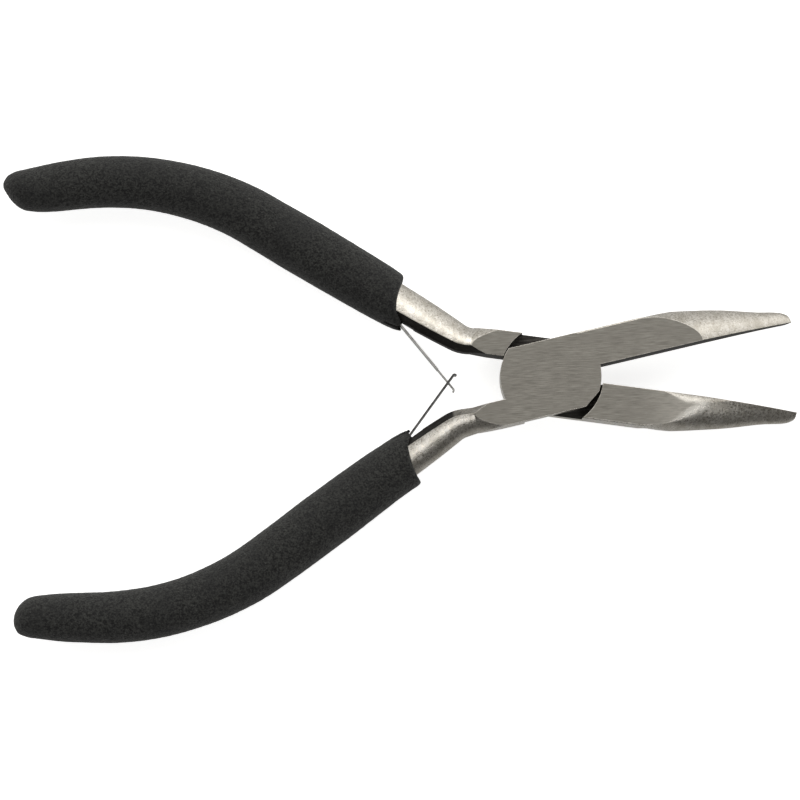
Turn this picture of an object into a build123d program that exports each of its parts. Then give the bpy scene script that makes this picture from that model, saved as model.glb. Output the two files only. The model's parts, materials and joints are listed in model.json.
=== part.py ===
from build123d import *
import os
from dataclasses import dataclass
from math import cos, radians, sin

# Small sprung pliers with bent needle noses, a riveted lap joint and foam grips.
#
# Row frame: the pivot's axis is Z, the joint's rear flat is z = 0, and +X runs between the open
# jaws towards the tips. Each half is drawn closed in the same frame: its jaw's inner face is the
# plane y = 0, its jaw lies in +Y and its handle in -X, -Y. The rear half is mirrored in Y, and
# each half is then turned open about the pivot. All sizes are in mm and degrees.

# Joint
open_angle = 20.8
joint_thickness = 7.0
plate_radius = 8.06
plate_centre_x = -0.12
recess_radius = 8.3
lap_gap = 0.04
clip_start = (4.1, -6.1)
clip_end = (7.1, -3.9)

# Pivot rivet: a shank with a countersunk head at each end, ground flush
rivet_radius = 2.2
rivet_head_radius = 2.9
rivet_head_depth = 0.9
rivet_clearance = 0.05

# Jaw
jaw_edge_round = 0.2
bend_start_x = 21.0
bend_radius = 38.0
under_bend_x = 24.0
under_bend_turn = 35.0
# How far the jaw is drawn past the end of the nose before it is cut to shape
jaw_overrun = 8.0
jaw_base_x = 13.0
# Oval sections of the nose: place along X, half width in Y, half height across the bend
nose_sections = (
    (13.0, 8.6, 11.5),
    (18.4, 6.15, 7.1),
    (21.6, 5.8, 4.7),
    (24.2, 5.32, 3.75),
    (28.0, 4.56, 3.05),
    (32.0, 3.53, 2.4),
    (36.0, 2.56, 1.7),
    (39.6, 1.35, 1.1),
)

# Handle bar: a flat inner land, a drafted flank above and below it, and a round outer side
root_half_width = 2.05
# Bar half widths at fractions of the handle's length
bar_widths = ((0.0, root_half_width), (0.14, 2.68), (0.4, 2.68), (0.7, 2.68), (1.0, 2.68))
land_half_height = 1.7
ridge_inset = 1.05
ridge_height = 3.45
flare_x = (-13.4, -8.6)
flare_size = 5.6
flare_land_inset = 0.05
flare_land_half_height = 5.0
root_end_x = -4.0
handle_radii = (5.0, 120.0, 46.0)
bar_end_inset = 6.8

# Foam grip: its radius at fractions of the handle's length, and how far it sits inwards in front
grip_radii = ((0.0, 4.4), (0.2, 4.45), (0.45, 4.68), (0.75, 4.3), (0.92, 4.05), (1.0, 3.65))
grip_shift = 0.2
grip_rim_round = 1.1
# Limits of the block that cuts the sleeve square in front
grip_reach_y = (-30, 30)
grip_reach_z = (-10, 20)

# Return springs: one leaf on each handle, crossing on the centre line
crossing_x = -16.5
seat_inset = 2.55
seat_length = 5.0
seat_front = 2.2
seat_cut = 2.0
leaf_thickness = 0.3
leaf_width = 3.0
leaf_lift = 0.5
leaf_tab = 1.7
pin_set_back = 0.4
leaf_bend_radius = 1.0
leaf_overrun = 1.35
curl_radius = 0.3
curl_turn = 110
leaf_hole_radius = 0.75
tongue_width = 1.1
tongue_length = 2.6
window_width = 1.7
window_back = 1.3
window_front = 0.95
pin_radius = 0.55
pin_depth = 2.0
pin_head_radius = 0.9
pin_head_gap = 0.95
pin_head_height = 0.4
slot_depth = 1.6
slot_height = 3.7
slot_back = 2.3
slot_length = 8.0

# How far a cutter reaches past what it cuts
spare = 1.0

middle = joint_thickness / 2


@dataclass
class Arm:
    """What differs between the two halves, in the half's own closed frame."""

    rear: bool
    jaw_face_y: float
    jaw_side_y: float
    root_y: float
    bend: tuple
    sway: tuple
    knee: tuple
    tail: tuple
    grip_front_x: float
    tip_round: float
    spring_x: float
    windowed: bool


front_arm = Arm(
    rear=False,
    jaw_face_y=0.02,
    jaw_side_y=5.85,
    root_y=-3.97,
    bend=(-16.4, -3.97),
    sway=(-30.0, -9.58),
    knee=(-64.4, -24.3),
    tail=(-88.6, -18.5),
    grip_front_x=-24.2,
    tip_round=0.55,
    spring_x=-23.0,
    windowed=True,
)
rear_arm = Arm(
    rear=True,
    jaw_face_y=0.06,
    jaw_side_y=6.02,
    root_y=-4.18,
    bend=(-14.95, -4.18),
    sway=(-29.3, -10.43),
    knee=(-64.2, -25.15),
    tail=(-87.3, -18.75),
    grip_front_x=-25.0,
    tip_round=0.3,
    spring_x=-23.8,
    windowed=False,
)


def place(part, arm):
    """Take a piece from its half's closed frame to the open tool."""
    if arm.rear:
        return part.mirror(Plane.XZ).rotate(Axis.Z, -open_angle / 2)
    return part.rotate(Axis.Z, open_angle / 2)


def handle_side_y(arm):
    """Outer side of the handle's root, level with one side of the joint plate."""
    return arm.root_y - root_half_width


def plate_span(arm):
    """Lowest and highest z of the half's joint plate."""
    if arm.rear:
        return 0, middle - lap_gap / 2
    return middle + lap_gap / 2, joint_thickness


def slab(x_low, x_high, y_low, y_high, z_low, z_high):
    """A block between the given limits."""
    block = Box(x_high - x_low, y_high - y_low, z_high - z_low, align=(Align.MIN,) * 3)
    return block.translate((x_low, y_low, z_low))


def disc(radius, z_low, z_high):
    """A cylinder about the pivot's axis."""
    return extrude(Plane.XY.offset(z_low) * Circle(radius), z_high - z_low)


def joint_plate(arm):
    """Round plate with two flat sides and one clipped corner."""
    low, high = plate_span(arm)
    reach = 2 * plate_radius
    strip = slab(-reach, reach, handle_side_y(arm), arm.jaw_side_y, low, high)
    corner = Polyline(clip_start, (reach, -reach), (reach, clip_end[1]), clip_end, close=True)
    clip = extrude(Plane.XY.offset(low) * make_face(corner), high - low)
    plate = disc(plate_radius, low, high).translate((plate_centre_x, 0, 0))
    return (plate & strip) - clip


def bend_point(x):
    """Height and slope of the nose's centre line at a place along X."""
    if x <= bend_start_x:
        return Vector(x, 0, middle), 0.0
    run = (x - bend_start_x) / bend_radius
    drop = bend_radius * (1 - (1 - run**2) ** 0.5)
    return Vector(x, 0, middle - drop), run / (1 - run**2) ** 0.5


def nose():
    """Bent round nose, thick enough at its base to hold the whole jaw."""
    ovals = []
    for x, half_width, half_height in nose_sections:
        centre, slope = bend_point(x)
        plane = Plane(origin=centre, x_dir=(0, 1, 0), z_dir=(-1, 0, slope))
        ovals.append(plane * Ellipse(half_width, half_height))
    return loft(ovals)


def jaw(arm):
    """Jaw with a flat inner face and a flat top, drawn out into the bent round nose."""
    end_x = nose_sections[-1][0] + jaw_overrun
    under = JernArc((under_bend_x, 0), (1, 0), bend_radius, -under_bend_turn)
    drop = under @ 1
    side = Polyline(
        drop,
        (end_x, drop.Y),
        (end_x, joint_thickness),
        (0, joint_thickness),
        (0, 0),
        (under_bend_x, 0),
    )
    profile = Plane.XZ * make_face([*under.edges(), *side.edges()])
    blank = extrude(profile, -arm.jaw_side_y)
    rims = blank.edges().filter_by_position(Axis.Y, arm.jaw_side_y, arm.jaw_side_y)
    rims = [edge for edge in rims if edge.length > jaw_base_x]
    blank = fillet(rims, jaw_edge_round)
    waste = slab(jaw_base_x, end_x + spare, -spare, arm.jaw_side_y + spare, -end_x, end_x)
    waste -= nose()
    part = blank - waste
    part -= slab(-spare, end_x, -spare, arm.jaw_face_y, -end_x, end_x)
    return round_tip(part, arm)


def round_tip(part, arm):
    """Round the edges of the jaw's small end face, except along the inner face."""
    end = part.faces().sort_by(Axis.X)[-1]
    rims = [edge for edge in end.edges() if edge.center().Y > arm.jaw_face_y + arm.tip_round / 2]
    return fillet(rims, arm.tip_round)


def handle_path(arm, end, sway_shift=0):
    """Centre line of the handle: level from the joint, then out, then back past the knee."""
    start = (flare_x[0], arm.root_y)
    sway = (arm.sway[0], arm.sway[1] + sway_shift)
    corners = [start, arm.bend, sway, arm.knee, (end.X, end.Y)]
    return FilletPolyline(*[(x, y, middle) for x, y in corners], radius=handle_radii)


def bar_section(half_width, flank_inset, land_height, round_size, round_height):
    """Half-round bar section: local X points at the inner side, local Y across."""
    ridge_x = half_width - flank_inset
    outer = EllipticalCenterArc((ridge_x, 0), round_size, round_height, 90, arc_size=180)
    inner = Polyline(
        outer @ 1,
        (half_width, -land_height),
        (half_width, land_height),
        outer @ 0,
    )
    return make_face([*outer.edges(), *inner.edges()])


def root_plane(arm, x):
    """Section plane of the handle where it still runs along X."""
    return Plane(origin=(x, arm.root_y, middle), x_dir=(0, 1, 0), z_dir=(-1, 0, 0))


def bar_plane(path, along):
    """Section plane at a fraction of the handle's path, its X pointing inwards."""
    run = path % along
    return Plane(origin=path @ along, x_dir=(run.Y, -run.X, 0), z_dir=run)


def handle(arm):
    """Handle bar and the flare that carries it into the flat joint strip."""
    tail = Vector(*arm.tail)
    end = tail + (Vector(*arm.knee) - tail).normalized() * bar_end_inset
    path = handle_path(arm, end)
    root_section = plain_section(root_half_width)
    sections = [bar_plane(path, along) * plain_section(width) for along, width in bar_widths]
    bar = sweep(sections, path=path, multisection=True)
    wide = bar_section(
        root_half_width, flare_land_inset, flare_land_half_height, flare_size, flare_size
    )
    flare_planes = [root_plane(arm, x) for x in flare_x]
    flare = loft([flare_planes[0] * root_section, flare_planes[1] * wide], ruled=True)
    outer_y = handle_side_y(arm)
    inner_y = arm.root_y + root_half_width
    strip = slab(flare_x[0], flare_x[1], outer_y, inner_y, 0, joint_thickness)
    root = slab(flare_x[1], root_end_x, outer_y, inner_y, 0, joint_thickness)
    return bar + (flare & strip) + root


def plain_section(half_width):
    """Section of the bar for a given half width."""
    round_size = 2 * half_width - ridge_inset
    return bar_section(half_width, ridge_inset, land_half_height, round_size, ridge_height)


def wall_frame(arm):
    """Plane on the spring's seat, where the leaf bends: X to the joint, Y inwards."""
    run = Vector(*arm.bend) - Vector(*arm.sway)
    run = run.normalized()
    inwards = Vector(-run.Y, run.X)
    along = (arm.spring_x - arm.bend[0]) / run.X
    foot = Vector(*arm.bend) + run * along + inwards * seat_inset
    return Plane(origin=(foot.X, foot.Y, middle), x_dir=run, z_dir=(0, 0, 1))


def pin_base(arm):
    """Plane lying on the spring's seat, centred on its rivet, with its normal inwards."""
    wall = wall_frame(arm)
    centre = wall.from_local_coords(Vector(-pin_set_back, 0, 0))
    return Plane(origin=centre, x_dir=wall.x_dir, z_dir=wall.y_dir)


def half(arm):
    """One forged half: jaw, joint plate and handle in one piece."""
    low, high = plate_span(arm)
    free_low, free_high = (high, joint_thickness + spare) if arm.rear else (-spare, low)
    body = jaw(arm) + handle(arm)
    body -= disc(recess_radius, free_low, free_high)
    body += joint_plate(arm)
    body -= rivet_shape(rivet_clearance if arm.rear else 0)
    wall = wall_frame(arm)
    seat = Box(seat_length, seat_cut, joint_thickness + spare, align=(Align.MAX, Align.MIN, Align.CENTER))
    body -= wall * Pos(seat_front, 0, 0) * seat
    return body - extrude(pin_base(arm) * Circle(pin_radius), -pin_depth)


def rivet_shape(clearance):
    """Shank with two cone heads, grown all round by the clearance."""
    head = rivet_head_radius + clearance
    shank = rivet_radius + clearance
    outline = Polyline(
        (0, 0),
        (head, 0),
        (shank, rivet_head_depth),
        (shank, joint_thickness - rivet_head_depth),
        (head, joint_thickness),
        (0, joint_thickness),
        close=True,
    )
    return revolve(Plane.XZ * make_face(outline), Axis.Z)


def grip_shape(arm):
    """Outside of the foam sleeve: a bent tube of changing radius with a domed tail."""
    path = handle_path(arm, Vector(*arm.tail), grip_shift)
    rings = [ring_plane(path, along) * Circle(radius) for along, radius in grip_radii]
    dome = Sphere(grip_radii[-1][1]).translate(path @ 1)
    return sweep(rings, path=path, multisection=True) + dome


def ring_plane(path, along):
    """Plane square to a path that lies in the plane of the tool."""
    return Plane(origin=path @ along, x_dir=(0, 0, 1), z_dir=path % along)


def grip(arm, steel):
    """Foam sleeve, cut square to the jaws in front, with a slot for the spring's root."""
    sleeve = grip_shape(arm) - slab(arm.grip_front_x, 0, *grip_reach_y, *grip_reach_z)
    front = sleeve.faces().filter_by(Axis.X).sort_by(Axis.X)[-1]
    sleeve = fillet(front.edges(), grip_rim_round)
    slot = Box(slot_length, slot_depth, slot_height, align=(Align.MAX, Align.MIN, Align.CENTER))
    slot = wall_frame(arm) * Pos(slot_length - slot_back, 0, 0) * slot
    return sleeve - steel - slot - spring_rivet(arm)


def leaf_spring(arm):
    """Flat leaf: a short tab at the root, then straight through the crossing to a curled end."""
    wall = wall_frame(arm)
    root = wall.from_local_coords(Vector(0, leaf_lift, 0))
    tab_end = wall.from_local_coords(Vector(-leaf_tab, leaf_lift, 0))
    half_open = radians(open_angle / 2)
    crossing = Vector(crossing_x * cos(half_open), -crossing_x * sin(half_open), middle)
    run = (crossing - root).normalized()
    tip = crossing + run * leaf_overrun
    line = FilletPolyline(tab_end, root, tip, radius=leaf_bend_radius)
    curl = JernArc(tip, run, curl_radius, -curl_turn if arm.windowed else curl_turn)
    path = Wire([*line.edges(), *curl.edges()])
    start = Plane(origin=tab_end, x_dir=wall.y_dir, z_dir=wall.x_dir)
    strip = sweep(start * Rectangle(leaf_thickness, leaf_width), path=path)
    strip -= extrude(pin_base(arm) * Circle(leaf_hole_radius), 2 * leaf_lift)
    local = Plane(origin=crossing, x_dir=run, z_dir=(0, 0, 1))
    return strip - local * (window() if arm.windowed else tongue_sides())


def window():
    """Opening near the end of the wide leaf, as a cutter about the crossing."""
    cut = Box(window_back + window_front, 4 * leaf_thickness, window_width)
    return Pos((window_front - window_back) / 2, 0, 0) * cut


def tongue_sides():
    """What is cut from both edges of the other leaf to leave its tongue."""
    side = (leaf_width - tongue_width) / 2 + spare
    cut = Box(tongue_length * 2, leaf_width, side)
    upper = Pos(0, 0, (tongue_width + side) / 2) * cut
    return upper + upper.mirror(Plane.XY)


def spring_rivet(arm):
    """Small rivet in the spring's seat, with play under its head for the leaf to rock."""
    base = pin_base(arm)
    shank = extrude(base.offset(-pin_depth) * Circle(pin_radius), pin_depth + pin_head_gap)
    head = extrude(base.offset(pin_head_gap) * Circle(pin_head_radius), pin_head_height)
    return shank + head


def main():
    """Build every piece and write one STEP file for each."""
    pieces = {"pivot_rivet": rivet_shape(0)}
    for name, end, arm in (("lower", "front", front_arm), ("upper", "rear", rear_arm)):
        steel = half(arm)
        pieces[f"{end}_half"] = place(steel, arm)
        pieces[f"{name}_grip"] = place(grip(arm, steel), arm)
        pieces[f"{name}_leaf_spring"] = place(leaf_spring(arm), arm)
        pieces[f"{name}_spring_rivet"] = place(spring_rivet(arm), arm)
    os.makedirs("parts", exist_ok=True)
    for name, piece in pieces.items():
        export_step(piece, f"parts/{name}.step")


main()
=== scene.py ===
import bmesh
import bpy
import json
import math
import numpy as np
from mathutils import Matrix, Vector, noise
from mathutils.bvhtree import BVHTree


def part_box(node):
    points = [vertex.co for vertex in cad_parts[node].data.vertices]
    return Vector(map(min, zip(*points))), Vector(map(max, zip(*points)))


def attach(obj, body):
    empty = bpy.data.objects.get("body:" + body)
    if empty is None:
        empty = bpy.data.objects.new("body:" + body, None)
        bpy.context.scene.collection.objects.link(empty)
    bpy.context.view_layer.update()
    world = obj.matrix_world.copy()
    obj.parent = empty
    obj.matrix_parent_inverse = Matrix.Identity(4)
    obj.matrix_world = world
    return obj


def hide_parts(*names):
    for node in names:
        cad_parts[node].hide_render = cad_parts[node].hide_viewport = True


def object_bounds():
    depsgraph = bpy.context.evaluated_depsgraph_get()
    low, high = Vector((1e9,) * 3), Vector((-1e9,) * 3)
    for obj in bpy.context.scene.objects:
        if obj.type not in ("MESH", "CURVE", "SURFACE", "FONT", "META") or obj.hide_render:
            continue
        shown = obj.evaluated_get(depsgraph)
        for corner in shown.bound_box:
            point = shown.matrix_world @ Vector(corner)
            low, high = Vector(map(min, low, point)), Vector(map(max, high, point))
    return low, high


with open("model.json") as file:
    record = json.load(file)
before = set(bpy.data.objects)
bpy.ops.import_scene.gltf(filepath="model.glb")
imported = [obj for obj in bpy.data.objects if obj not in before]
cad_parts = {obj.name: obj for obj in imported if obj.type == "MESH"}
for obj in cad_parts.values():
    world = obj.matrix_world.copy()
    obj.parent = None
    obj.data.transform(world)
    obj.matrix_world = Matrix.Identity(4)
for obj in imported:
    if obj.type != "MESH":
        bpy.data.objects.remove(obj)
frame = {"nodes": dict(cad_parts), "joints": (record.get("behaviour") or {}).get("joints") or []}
cad_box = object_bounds()

MM = 0.001
PIVOT = next(joint for joint in frame["joints"] if joint["name"] == "pivot")
HALF_OPEN = math.radians(max(PIVOT["range_deg"])) / 2
JOINT_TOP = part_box("pivot_rivet")[1].z
RIVET_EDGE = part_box("pivot_rivet")[1].x

# Camera: nearly square to the tool, leaning a little to -Y, with the tool turned in the view
CAMERA_LEAN = math.radians(4.4)
CAMERA_TURN = math.radians(2.88)
CAMERA_DISTANCE = 0.7
CAMERA_CLIP = 0.01
VIEW_WIDTH = 0.128
SENSOR_MM = 36.0
AIM = Vector((-24.31, -2.38, 3.5)) * MM

# Light tent: radiance overhead and on the -Y side, in the bright band, and low on the +Y side
TENT_DARK = 0.12
TENT_BRIGHT = 1.45
TENT_LOW = 0.7
TENT_TINT = (1.0, 0.99, 0.965, 1)
# Y of the directions between which the tent turns bright, and turns down again
TENT_RISE = (0.0, 0.48)
TENT_FALL = (0.6, 0.95)
# Table's radiance on the -Y and the +Y side, Y where it changes, and Z where it meets the tent
TABLE_GLOW = (0.42, 0.6)
TABLE_SIDES = (-0.5, 0.3)
HORIZON = (-0.55, -0.05)

# Softboxes: name, place and width in metres, power in watts
SOFTBOXES = (
    ("key", (0.05, 0.55, 0.75), 0.5, 1.3),
    ("cross", (0.19, -0.34, 0.8), 0.42, 1.35),
)

# Floor
FLOOR_REACH = 3.0
FLOOR_GAP = 0.02 * MM
FLOOR_GLOW = 0.75
FLOOR_PAPER = ((0.9, 0.9, 0.89), (0.93, 0.93, 0.925))
FIBRE_SCALE = 90.0

# Steel colours: dark and light of each finish, and what is mixed in
GROUND = ((0.265, 0.25, 0.22), (0.4, 0.38, 0.338))
GROUND_HAZE = (0.29, 0.273, 0.242)
# Painted highlight: the paler ground towards the rear jaw's nose
GROUND_PAINTED_HIGHLIGHT = (0.6, 0.57, 0.515)
TUMBLED = ((0.47, 0.44, 0.385), (0.76, 0.73, 0.68))
TUMBLED_BLOTCH = (0.42, 0.39, 0.335)
# Painted highlight on the band where a flat blends into its nose
BLEND_PAINTED_HIGHLIGHT = (0.8, 0.775, 0.725)
# Painted shade in the lap and painted dark reflection on the inner flanks: near black, with pale
# scratches, darkest on the flanks
PAINTED_SHADE = ((0.012, 0.0105, 0.0085), (0.036, 0.033, 0.028))
PAINTED_SHADE_SCRATCH = (0.16, 0.152, 0.14)
FLANK_PAINTED_REFLECTION = (0.006, 0.005, 0.004)
PAINTED_SHADE_ROUGHNESS = 0.65

# Steel textures: cells per metre, along X, Y and Z where they differ, and the bump's depth
STREAKS = (420, 7000, 7000)
HAZE = (160, 420, 420)
BLOTCHES = (700, 420, 700)
SWEPT = (900, 4200, 900)
SCRATCHES = (260, 3000, 3800)
GRAIN = 3000.0
WANDER = 700.0
STEEL_BUMP = 0.06 * MM

# Painted shade: depths below the ground faces, and X from the joint, where it ends in the lap
PAINTED_SHADE_DEPTHS = (0.2 * MM, 0.4 * MM)
LAP_REACH = (8 * MM, 12 * MM)
# How level a lap face is, and how far a flank faces inward, with the wander of its edge
LEVEL_FACE = (0.9, 0.99)
FLANK_FACE = (-0.62, -0.46)
FLANK_WANDER = 0.08
# Along X, where a handle's root begins to be free of the flank's painted dark reflection, turns half
# free, and is painted dark again
UNSHADED_ROOT_START = (-16.2 * MM, -15.2 * MM)
UNSHADED_ROOT_HALF = (-13.5 * MM, -12 * MM)
UNSHADED_ROOT_END = (-9 * MM, -8 * MM)

# Soft edges, and X between which a jaw's flat is blended into its nose
NO_EDGE = 0.002 * MM
SOFT_EDGE = 0.12 * MM
PLAIN_BLEND = 0.1 * MM
WIDE_BLEND = 2.2 * MM
RIM_CLEAR = 1.2
BEVEL_SAMPLES = 6
BLEND_START = (17.5 * MM, 21.5 * MM)
BLEND_END = (24 * MM, 29 * MM)
# X where the ground flat begins to pale towards the nose, a painted highlight
NOSE_HIGHLIGHT_START = (12 * MM, 21 * MM)
# Z of the soft normal on a ground flat, and on the two sides of the painted highlight band beside it
FLAT_FACE = (0.9955, 0.9993)
BAND_OUTER = (0.94, 0.985)
BAND_INNER = (0.994, 0.9995)

# Spring strip: dark and light of its faces and of its cut edges, and its rolling lines' texture
STRIP_BODY = ((0.1, 0.098, 0.095), (0.24, 0.236, 0.23))
STRIP_CUT = ((0.34, 0.335, 0.325), (0.56, 0.55, 0.53))
STRIP_LINES = (900, 900, 7000)
CUT_FACE = (0.6, 0.9)
STRIP_BUMP = 0.01 * MM

# Foam: dark and light of its grain, what is mixed in, cells per metre, and the bump's depth
FOAM = ((0.004, 0.004, 0.0038), (0.042, 0.0425, 0.0395))
FOAM_WASH = (0.014, 0.014, 0.0145)
FOAM_SPECK = (0.1, 0.1, 0.094)
FOAM_FINE = 3400.0
FOAM_CLUMPS = 1500.0
FOAM_PATCHES = 130.0
FOAM_BUMP = 0.16 * MM

# The middle of a noise's range, which is stretched over the values wanted
NOISE_MIDDLE = (0.3, 0.7)

# Each sleeve's own cut, in mm: how far its inner lip and its outer corner stand forward, how deep its
# front is hollowed, and how much the tail is trimmed on the outer and the inner side
LOWER_CUT = {"lip": 1.6, "corner": 0.35, "hollow": 0.6, "outer_trim": 3.1, "inner_trim": 0.0}
UPPER_CUT = {"lip": 1.9, "corner": -0.35, "hollow": 0.95, "outer_trim": 2.3, "inner_trim": 1.0}
# How sharply the lip, the corner and the hollow's fade are shaped
LIP_POWER = 2
CORNER_POWER = 4
HOLLOW_POWER = 1.5
HOLLOW_REACH = 3.2 * MM

# Foam sleeves' tails
TAIL_REACH = 9.0 * MM
TAIL_PAST = 1.2
TAIL_POWER = 3
TAIL_LEAN = 0.5 * MM
TAIL_DRAW = 0.3 * MM
TRIM_POWER = 1.5

# Foam sleeves' rings: their spacing and numbers, and the rays that find the skin
RING_STEP = 0.26 * MM
RING_POINTS = 112
DOME_RINGS = 22
FACE_RINGS = 18
RIM_RINGS = 9
RIM_START = 0.15
RIM_ROUND = 1.1 * MM
CENTRE_SMOOTHING = 15
RAY_START = 14.0 * MM
RAY_REACH = 80.0 * MM
DOME_RADIUS = 3.9 * MM
GRIP_RADIUS = 4.6 * MM
FACE_CORE = 0.3
FACE_TURN_LENGTH = 10.0 * MM
ABOVE_SLOT = 2.2 * MM

# Foam sleeves' skin
LUMP_SIZE = 5.0 * MM
LUMP_HEIGHT = 0.09 * MM
CELL_SIZE = 0.6 * MM
CELL_HEIGHT = 0.06 * MM
SEED_STEP = Vector((0.37, 0.11, 0.53))


# ---------------------------------------------------------------- camera, light and floor


def add_camera():
    """Long lens above the joint, turned so that the tool lies as it does in the view."""
    right = Vector((math.cos(CAMERA_TURN), -math.sin(CAMERA_TURN), 0))
    level = Vector((math.sin(CAMERA_TURN), math.cos(CAMERA_TURN), 0))
    up = level * math.cos(CAMERA_LEAN) + Vector((0, 0, math.sin(CAMERA_LEAN)))
    back = right.cross(up)
    data = bpy.data.cameras.new("camera")
    data.sensor_width = SENSOR_MM
    data.lens = SENSOR_MM * CAMERA_DISTANCE / VIEW_WIDTH
    data.clip_start = CAMERA_CLIP
    camera = bpy.data.objects.new("camera", data)
    turn = Matrix((right, up, back)).transposed().to_4x4()
    camera.matrix_world = Matrix.Translation(AIM + back * CAMERA_DISTANCE) @ turn
    bpy.context.scene.collection.objects.link(camera)
    bpy.context.scene.camera = camera


def add_softbox(name, place, size, power):
    """Square area light that faces the tool."""
    data = bpy.data.lights.new(name, "AREA")
    data.shape = "SQUARE"
    data.size = size
    data.energy = power
    lamp = bpy.data.objects.new(name, data)
    lamp.location = place
    lamp.rotation_euler = (AIM - Vector(place)).to_track_quat("-Z", "Y").to_euler()
    bpy.context.scene.collection.objects.link(lamp)


def add_studio():
    """Light tent: dark overhead and on the -Y side, a bright band up the +Y side, a pale table."""
    world = bpy.data.worlds.new("studio")
    bpy.context.scene.world = world
    world.use_nodes = True
    graph = Graph(world.node_tree)
    direction = graph.add("ShaderNodeTexCoord").outputs["Generated"]
    axes = graph.add("ShaderNodeSeparateXYZ", Vector=direction)
    side, rise = axes.outputs["Y"], axes.outputs["Z"]
    tent = graph.ramp(side, *TENT_RISE, TENT_DARK, TENT_BRIGHT)
    tent = graph.mix(graph.ramp(side, *TENT_FALL, 0, 1), tent, TENT_LOW)
    table = graph.ramp(side, *TABLE_SIDES, *TABLE_GLOW)
    light = graph.mix(graph.ramp(rise, *HORIZON, 0, 1), table, tent)
    background = graph.add("ShaderNodeBackground", Color=TENT_TINT, Strength=light)
    graph.add("ShaderNodeOutputWorld", Surface=background.outputs[0])


def add_floor():
    """Pale floor just under the lowest point of the tool."""
    level = cad_box[0].z - FLOOR_GAP
    corners = [
        (-FLOOR_REACH, -FLOOR_REACH, level),
        (FLOOR_REACH, -FLOOR_REACH, level),
        (FLOOR_REACH, FLOOR_REACH, level),
        (-FLOOR_REACH, FLOOR_REACH, level),
    ]
    mesh = bpy.data.meshes.new("floor")
    mesh.from_pydata(corners, [], [(0, 1, 2, 3)])
    floor = bpy.data.objects.new("floor", mesh)
    bpy.context.scene.collection.objects.link(floor)
    material, graph = new_material("floor_paper")
    fibre = graph.noise(graph.position(), FIBRE_SCALE, 4)
    graph.principled(
        **{
            "Base Color": graph.mix_colour(fibre, *FLOOR_PAPER),
            "Roughness": 0.9,
            "Emission Color": (1, 1, 1, 1),
            "Emission Strength": FLOOR_GLOW,
        }
    )
    mesh.materials.append(material)
    floor.visible_glossy = False


# ---------------------------------------------------------------- node helpers


class Graph:
    """Short calls for building a node tree."""

    def __init__(self, tree):
        self.tree = tree
        tree.nodes.clear()

    def add(self, kind, **inputs):
        node = self.tree.nodes.new(kind)
        for name, value in inputs.items():
            self.join(node.inputs[name], value)
        return node

    def join(self, socket, value):
        if isinstance(value, bpy.types.NodeSocket):
            self.tree.links.new(value, socket)
        else:
            socket.default_value = value

    def position(self):
        return self.add("ShaderNodeTexCoord").outputs["Object"]

    def normal_axes(self):
        normal = self.add("ShaderNodeTexCoord").outputs["Normal"]
        return self.add("ShaderNodeSeparateXYZ", Vector=normal).outputs

    def stretched(self, vector, scales):
        return self.add("ShaderNodeMapping", Vector=vector, Scale=scales).outputs[0]

    def noise(self, vector, scale, detail=2.0, rough=0.5):
        node = self.add("ShaderNodeTexNoise", Vector=vector, Scale=scale, Detail=detail, Roughness=rough)
        return node.outputs[0]

    def fibres(self, vector, scales, detail, rough):
        """Noise with its own scale along each axis."""
        return self.noise(self.stretched(vector, scales), 1.0, detail, rough)

    def cells(self, vector, scale):
        return self.add("ShaderNodeTexVoronoi", Vector=vector, Scale=scale).outputs["Distance"]

    def ramp(self, value, low, high, out_low, out_high):
        node = self.tree.nodes.new("ShaderNodeMapRange")
        node.interpolation_type = "SMOOTHSTEP"
        settings = (value, low, high, out_low, out_high)
        for socket, setting in zip(node.inputs, settings):
            self.join(socket, setting)
        return node.outputs[0]

    def contrast(self, noise, out_low, out_high):
        """The middle of a noise's range, stretched over two values."""
        return self.ramp(noise, *NOISE_MIDDLE, out_low, out_high)

    def math(self, kind, first, second=0.0):
        node = self.tree.nodes.new("ShaderNodeMath")
        node.operation = kind
        self.join(node.inputs[0], first)
        self.join(node.inputs[1], second)
        return node.outputs[0]

    def product(self, first, *others):
        for other in others:
            first = self.math("MULTIPLY", first, other)
        return first

    def mix(self, share, first, second):
        node = self.tree.nodes.new("ShaderNodeMix")
        self.join(node.inputs[0], share)
        self.join(node.inputs[2], first)
        self.join(node.inputs[3], second)
        return node.outputs[0]

    def mix_colour(self, share, first, second):
        node = self.tree.nodes.new("ShaderNodeMix")
        node.data_type = "RGBA"
        self.join(node.inputs[0], share)
        for socket, colour in ((node.inputs[6], first), (node.inputs[7], second)):
            self.join(socket, colour if isinstance(colour, bpy.types.NodeSocket) else (*colour, 1))
        return node.outputs[2]

    def bump(self, height, depth, strength=1.0, base=None):
        node = self.add("ShaderNodeBump", Height=height, Distance=depth, Strength=strength)
        if base:
            self.join(node.inputs["Normal"], base)
        return node.outputs[0]

    def soft_edge(self, radius):
        node = self.tree.nodes.new("ShaderNodeBevel")
        node.samples = BEVEL_SAMPLES
        self.join(node.inputs["Radius"], radius)
        return node.outputs[0]

    def principled(self, **inputs):
        shader = self.add("ShaderNodeBsdfPrincipled", **inputs)
        self.add("ShaderNodeOutputMaterial", Surface=shader.outputs[0])
        return shader


def new_material(name):
    material = bpy.data.materials.new(name)
    material.use_nodes = True
    return material, Graph(material.node_tree)


# ---------------------------------------------------------------- materials


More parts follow.
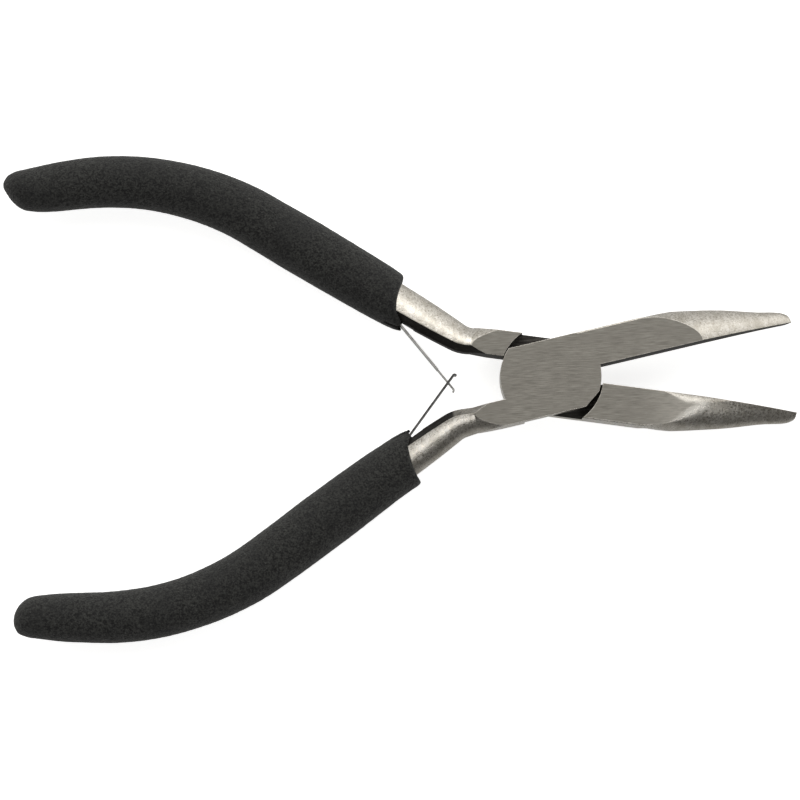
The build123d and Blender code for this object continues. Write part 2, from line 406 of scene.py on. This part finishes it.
def painted_shade_masks(graph, place, where, root_unshaded_share):
    """Where painted shade goes, in the lap's recess or as a painted dark reflection on a flank, and the
    flank's share by itself.
    """
    normal = graph.normal_axes()
    middle = JOINT_TOP / 2
    shallow, deep = PAINTED_SHADE_DEPTHS
    from_middle = graph.math("ABSOLUTE", graph.math("SUBTRACT", where["Z"], middle))
    lap = graph.product(
        graph.ramp(graph.math("ABSOLUTE", normal["Z"]), *LEVEL_FACE, 0, 1),
        graph.ramp(from_middle, middle - deep, middle - shallow, 1, 0),
        graph.ramp(graph.math("ABSOLUTE", where["X"]), *LAP_REACH, 1, 0),
    )
    inward = graph.product(normal["Y"], graph.math("SIGN", where["Y"]))
    wander = graph.contrast(graph.noise(place, WANDER, 2, 0.6), -FLANK_WANDER, FLANK_WANDER)
    flank = graph.ramp(graph.math("ADD", inward, wander), *FLANK_FACE, 1, 0)
    root_unshaded = graph.product(
        graph.ramp(where["X"], *UNSHADED_ROOT_START, 0, root_unshaded_share),
        graph.ramp(where["X"], *UNSHADED_ROOT_HALF, 1, 0.5),
        graph.ramp(where["X"], *UNSHADED_ROOT_END, 1, 0),
    )
    flank = graph.product(flank, graph.math("SUBTRACT", 1.0, root_unshaded))
    return graph.math("MAXIMUM", lap, flank), flank


def eased_normal(graph, place, where, edge_radius, blend_radius):
    """Normal with soft edges, none at the rivet's rim, and the share of the blend into the nose."""
    from_axis = graph.add("ShaderNodeVectorMath", Vector=graph.stretched(place, (1, 1, 0)))
    from_axis.operation = "LENGTH"
    rim = (RIVET_EDGE, RIM_CLEAR * RIVET_EDGE)
    radius = graph.ramp(from_axis.outputs["Value"], *rim, NO_EDGE, edge_radius)
    blended = graph.product(
        graph.ramp(where["X"], *BLEND_START, 0, 1),
        graph.ramp(where["X"], *BLEND_END, 1, 0),
    )
    return graph.soft_edge(graph.mix(blended, radius, blend_radius)), blended


def ground_colour(graph, place, streaks, nose_painted_highlight):
    """Fine streaks along X with a slow haze, paler towards the nose as a painted highlight."""
    haze = graph.fibres(place, HAZE, 3, 0.6)
    colour = graph.mix_colour(graph.contrast(streaks, 0, 1), *GROUND)
    colour = graph.mix_colour(graph.contrast(haze, 0, 0.5), colour, GROUND_HAZE)
    return graph.mix_colour(nose_painted_highlight, colour, GROUND_PAINTED_HIGHLIGHT)


def tumbled_colour(graph, grain, blotches):
    """Bright grain with duller blotches."""
    colour = graph.mix_colour(graph.contrast(grain, 0, 1), *TUMBLED)
    return graph.mix_colour(graph.ramp(blotches, 0.4, 0.66, 0, 0.65), colour, TUMBLED_BLOTCH)


def painted_shade_colour(graph, place, grain, flank):
    """Painted shade: near black with pale scratches along X, darkest on the flanks as a painted dark
    reflection.
    """
    scratches = graph.fibres(place, SCRATCHES, 4, 0.7)
    colour = graph.mix_colour(grain, *PAINTED_SHADE)
    colour = graph.mix_colour(graph.ramp(scratches, 0.5, 0.68, 0, 0.45), colour, PAINTED_SHADE_SCRATCH)
    return graph.mix_colour(graph.ramp(flank, 0, 1, 0, 0.65), colour, FLANK_PAINTED_REFLECTION)


def forged_steel(name, edge_radius, blend_radius, root_unshaded_share=0.0, nose_highlight_share=0.0):
    """Ground flats and tumbled rounds, with painted shade in the lap, a painted dark reflection on the
    inner flanks, and a painted highlight where a flat blends into its nose.
    """
    material, graph = new_material(name)
    place = graph.position()
    where = graph.add("ShaderNodeSeparateXYZ", Vector=place).outputs
    scale, flank = painted_shade_masks(graph, place, where, root_unshaded_share)
    smooth, blended = eased_normal(graph, place, where, edge_radius, blend_radius)
    facing = graph.add("ShaderNodeSeparateXYZ", Vector=smooth).outputs["Z"]
    facing = graph.math("ABSOLUTE", facing)
    flat = graph.ramp(facing, *FLAT_FACE, 0, 1)

    streaks = graph.fibres(place, STREAKS, 4, 0.65)
    swept = graph.fibres(place, SWEPT, 3, 0.6)
    blotches = graph.fibres(place, BLOTCHES, 4, 0.65)
    grain = graph.noise(place, GRAIN, 3, 0.7)
    # Painted highlight: paler streaks on the flat towards the nose
    nose_painted_highlight = graph.product(
        graph.contrast(swept, 0.4, 1),
        graph.ramp(where["X"], *NOSE_HIGHLIGHT_START, 0, nose_highlight_share),
    )
    # Painted highlight: a bright band where the soft normal turns from the flat into the nose
    band = graph.product(
        graph.ramp(facing, *BAND_OUTER, 0, 1),
        graph.ramp(facing, *BAND_INNER, 1, 0),
        graph.contrast(swept, 0.45, 1),
        blended,
    )
    tumbled = tumbled_colour(graph, grain, blotches)
    ground = ground_colour(graph, place, streaks, nose_painted_highlight)
    colour = graph.mix_colour(flat, tumbled, ground)
    colour = graph.mix_colour(band, colour, BLEND_PAINTED_HIGHLIGHT)
    # Painted shade in the lap and a painted dark reflection on the inner flanks
    colour = graph.mix_colour(scale, colour, painted_shade_colour(graph, place, grain, flank))

    rough = graph.mix(flat, graph.contrast(grain, 0.24, 0.42), graph.contrast(streaks, 0.3, 0.38))
    relief = graph.math("ADD", grain, graph.product(blotches, 1.5))
    height = graph.mix(flat, relief, graph.product(streaks, 0.2))
    graph.principled(
        **{
            "Base Color": colour,
            "Metallic": graph.ramp(scale, 0.0, 1.0, 1.0, 0.1),
            "Roughness": graph.mix(scale, rough, PAINTED_SHADE_ROUGHNESS),
            "Specular IOR Level": 0.3,
            "Normal": graph.bump(height, STEEL_BUMP, 0.55, smooth),
        }
    )
    return material


def toned(colours, tone):
    """A pair of colours made darker or lighter."""
    return [tuple(part * tone for part in colour) for colour in colours]


def spring_steel(name, tone):
    """Tempered strip with fine rolling lines and a bright cut edge; a low tone is blackened on the pins,
    while the leaves' tones are painted highlight and painted shade.
    """
    material, graph = new_material(name)
    lines = graph.fibres(graph.position(), STRIP_LINES, 3, 0.6)
    edge = graph.ramp(graph.math("ABSOLUTE", graph.normal_axes()["Z"]), *CUT_FACE, 0, 1)
    body = graph.mix_colour(lines, *toned(STRIP_BODY, tone))
    cut = graph.mix_colour(lines, *toned(STRIP_CUT, tone))
    graph.principled(
        **{
            "Base Color": graph.mix_colour(edge, body, cut),
            "Metallic": 1.0,
            "Roughness": graph.contrast(lines, 0.22, 0.36),
            "Normal": graph.bump(lines, STRIP_BUMP, 0.4),
        }
    )
    return material


def foam():
    """Closed-cell foam rubber: charcoal, matt, with a fine open grain and a few pale specks."""
    material, graph = new_material("grip_foam_skin")
    place = graph.position()
    fine = graph.noise(place, FOAM_FINE, 2, 0.7)
    clumps = graph.noise(place, FOAM_CLUMPS, 3, 0.7)
    patches = graph.noise(place, FOAM_PATCHES, 3, 0.6)
    pores = graph.cells(place, FOAM_FINE)
    grain = graph.ramp(graph.math("ADD", fine, graph.product(clumps, 0.6)), 0.68, 0.92, 0, 1)
    colour = graph.mix_colour(grain, *FOAM)
    colour = graph.mix_colour(graph.ramp(patches, 0.35, 0.7, 0, 0.35), colour, FOAM_WASH)
    colour = graph.mix_colour(graph.ramp(fine, 0.67, 0.74, 0, 0.7), colour, FOAM_SPECK)
    height = graph.math("ADD", graph.product(pores, 0.6), graph.product(clumps, 1.4))
    height = graph.math("ADD", height, fine)
    graph.principled(
        **{
            "Base Color": colour,
            "Roughness": graph.ramp(grain, 0.0, 1.0, 0.7, 0.92),
            "Specular IOR Level": 0.3,
            "Sheen Weight": 0.06,
            "Sheen Roughness": 0.5,
            "Normal": graph.bump(height, FOAM_BUMP, 0.8),
        }
    )
    return material


def dress(node, material):
    """Give a CAD node its material."""
    mesh = frame["nodes"][node].data
    mesh.materials.clear()
    mesh.materials.append(material)


# ---------------------------------------------------------------- foam sleeves


class Sleeve:
    """The outer skin of a grip's plain CAD solid, as rings about its own centre line."""

    def __init__(self, node, turn):
        mesh = frame["nodes"][node].data
        places = [vertex.co for vertex in mesh.vertices]
        self.tree = BVHTree.FromPolygons(places, [tuple(face.vertices) for face in mesh.polygons])
        self.forward = Vector((math.cos(turn), math.sin(turn), 0))
        self.across = Vector((-math.sin(turn), math.cos(turn), 0))
        reach = [place.dot(self.forward) for place in places]
        self.front = max(reach)
        self.length = self.front - min(reach) - DOME_RADIUS
        self.depths = np.arange(FACE_TURN_LENGTH / 3, self.length, RING_STEP)
        middles = [self.middle(depth) for depth in self.depths]
        spread = np.ones(CENTRE_SMOOTHING) / CENTRE_SMOOTHING
        half = CENTRE_SMOOTHING // 2
        self.middles = np.convolve(middles, spread, "valid")
        self.depths = self.depths[half:-half]
        self.slopes = np.gradient(self.middles, self.depths)

    def middle(self, depth):
        """Half way between the sleeve's two sides, above the spring's slot."""
        foot = self.forward * (self.front - depth)
        foot.z = JOINT_TOP / 2 + ABOVE_SLOT
        sides = []
        for way in (self.across, -self.across):
            hit = self.tree.ray_cast(foot + way * RAY_REACH, -way)[0]
            sides.append(hit.dot(self.across))
        return sum(sides) / 2

    def station(self, depth):
        """Centre of the sleeve and its run towards the tail, at a depth behind the front."""
        slope = float(np.interp(depth, self.depths, self.slopes))
        side = float(np.interp(depth, self.depths, self.middles))
        side += slope * (depth - min(max(depth, self.depths[0]), self.depths[-1]))
        centre = self.forward * (self.front - depth) + self.across * side
        centre.z = JOINT_TOP / 2
        return centre, (self.across * slope - self.forward).normalized()

    def ring(self, centre, facing, run, rise):
        """Points of the skin all round a centre, in its plane or leaning towards the tail."""
        up = Vector((0, 0, 1))
        side = facing.cross(up)
        points = []
        for turn in np.linspace(0, 2 * math.pi, RING_POINTS, endpoint=False):
            way = (side * math.cos(turn) + up * math.sin(turn)) * math.cos(rise) + run * math.sin(rise)
            hit = self.tree.ray_cast(centre + way * RAY_START, -way, RAY_START)[0]
            points.append(hit or centre)
        return points

    def rings(self):
        """Rings from the middle of the front face, over the rim and back to the tail."""
        turns = np.linspace(RIM_START, math.pi / 2, RIM_RINGS)
        rim = [RIM_ROUND * (1 - math.cos(turn)) for turn in turns]
        found = []
        for depth in [*rim, *np.arange(RIM_ROUND + RING_STEP, self.length, RING_STEP)]:
            centre, run = self.station(depth)
            share = min(depth / FACE_TURN_LENGTH, 1)
            share = share * share * (3 - 2 * share)
            facing = (run * share - self.forward * (1 - share)).normalized()
            found.append(self.ring(centre, facing, run, 0))
        for rise in np.linspace(0, math.pi / 2, DOME_RINGS)[1:-1]:
            found.append(self.ring(centre, run, run, rise))
        pole = self.ring(centre, run, run, math.pi / 2)[0]
        middle = self.station(0)[0]
        face = [
            [middle + (point - middle) * share for point in found[0]]
            for share in np.linspace(FACE_CORE, 1, FACE_RINGS, endpoint=False)
        ]
        return middle, face + found, pole

    def mesh(self, name):
        """Closed mesh through the rings."""
        middle, rings, pole = self.rings()
        points = [middle] + [point for ring in rings for point in ring] + [pole]
        faces = []
        last = len(points) - 1
        for ring in range(len(rings) - 1):
            for index in range(RING_POINTS):
                after = (index + 1) % RING_POINTS
                near, far = 1 + ring * RING_POINTS, 1 + (ring + 1) * RING_POINTS
                faces.append((near + index, near + after, far + after, far + index))
        for index in range(RING_POINTS):
            after = (index + 1) % RING_POINTS
            faces.append((0, 1 + after, 1 + index))
            faces.append((last, last - RING_POINTS + index, last - RING_POINTS + after))
        mesh = bpy.data.meshes.new(name)
        mesh.from_pydata(points, [], faces)
        shape = bmesh.new()
        shape.from_mesh(mesh)
        bmesh.ops.recalc_face_normals(shape, faces=shape.faces)
        shape.to_mesh(mesh)
        shape.free()
        return mesh


def arrays(mesh):
    """Places and normals of a mesh's vertices, one row for each."""
    count = len(mesh.vertices)
    places = np.empty(count * 3, np.float32)
    normals = np.empty(count * 3, np.float32)
    mesh.vertices.foreach_get("co", places)
    mesh.vertex_normals.foreach_get("vector", normals)
    return places.reshape(-1, 3).astype(float), normals.reshape(-1, 3).astype(float)


def shape_front(places, sleeve, inner, cut):
    """Hollow the square front over the bar, and move its inner lip and its outer corner."""
    forward, across = np.array(sleeve.forward), np.array(sleeve.across)
    middle = sleeve.station(0)[0].dot(sleeve.across)
    offset = np.clip((places @ across - middle) / GRIP_RADIUS, -1, 1)
    fade = np.clip((places @ forward - sleeve.front) / HOLLOW_REACH + 1, 0, 1) ** HOLLOW_POWER
    lip = cut["lip"] * np.clip(offset * inner, 0, 1) ** LIP_POWER
    corner = cut["corner"] * np.clip(-offset * inner, 0, 1) ** CORNER_POWER
    move = (lip + corner - cut["hollow"] * (1 - offset**2)) * fade * MM
    return places + move[:, None] * forward


def shape_tail(places, sleeve, inner, cut):
    """Draw the domed tail out, away from the other handle, and trim its sides to a blunt point."""
    tail, run = sleeve.station(sleeve.length - TAIL_REACH + DOME_RADIUS)
    run, from_tail = np.array(run), places - np.array(tail)
    share = np.clip(from_tail @ run / TAIL_REACH, 0, TAIL_PAST) ** TAIL_POWER
    outward = np.array(sleeve.across) * -inner
    offset = np.clip(from_tail @ outward / DOME_RADIUS, -1, 1)
    trim = cut["outer_trim"] * np.clip(offset, 0, 1) ** TRIM_POWER
    trim -= cut["inner_trim"] * np.clip(-offset, 0, 1) ** TRIM_POWER
    lean = (TAIL_LEAN - trim * MM)[:, None] * outward
    return places + share[:, None] * (lean + TAIL_DRAW * run)


def shape_skin(places, normals, seed):
    """Slow lumps and fine cells, pressed in from the skin so that the sleeve never grows."""
    shift = SEED_STEP * seed
    depths = np.empty(len(places))
    for index, place in enumerate(places):
        point = Vector(place)
        lump = noise.noise(point / LUMP_SIZE + shift)
        cell = noise.noise(point / CELL_SIZE + shift)
        depths[index] = LUMP_HEIGHT * (lump - 1) / 2 + CELL_HEIGHT * (cell - 1) / 2
    return places + normals * depths[:, None]


def foam_sleeve(node, body, turn, inner, cut, material):
    """The visible sleeve that stands for a grip's plain CAD solid."""
    sleeve = Sleeve(node, turn)
    mesh = sleeve.mesh(f"{node}_sleeve")
    places, normals = arrays(mesh)
    places = shape_front(places, sleeve, inner, cut)
    places = shape_tail(places, sleeve, inner, cut)
    places = shape_skin(places, normals, inner)
    mesh.vertices.foreach_set("co", places.astype(np.float32).ravel())
    mesh.polygons.foreach_set("use_smooth", [True] * len(mesh.polygons))
    mesh.materials.append(material)
    mesh.update()
    piece = bpy.data.objects.new(f"{node}_sleeve", mesh)
    bpy.context.scene.collection.objects.link(piece)
    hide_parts(node)
    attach(piece, body)


# ---------------------------------------------------------------- making


bpy.context.scene.view_settings.view_transform = "Standard"
add_camera()
add_studio()
for softbox in SOFTBOXES:
    add_softbox(*softbox)
add_floor()

dress("front_half", forged_steel("forged_half", SOFT_EDGE, PLAIN_BLEND, root_unshaded_share=1.0))
dress("rear_half", forged_steel("forged_half_blended", SOFT_EDGE, WIDE_BLEND, nose_highlight_share=0.65))
dress("pivot_rivet", forged_steel("ground_rivet", NO_EDGE, NO_EDGE))
# The upper leaf is lightened as a painted reflection and the lower leaf darkened as painted shade
dress("upper_leaf_spring", spring_steel("strip_painted_highlight", 1.2))
dress("lower_leaf_spring", spring_steel("strip_painted_shade", 0.3))
black_pin = spring_steel("blackened_pin", 0.06)
for pin in ("lower_spring_rivet", "upper_spring_rivet"):
    dress(pin, black_pin)
skin = foam()
foam_sleeve("lower_grip", "front_arm", HALF_OPEN, 1, LOWER_CUT, skin)
foam_sleeve("upper_grip", "rear_arm", -HALF_OPEN, -1, UPPER_CUT, skin)
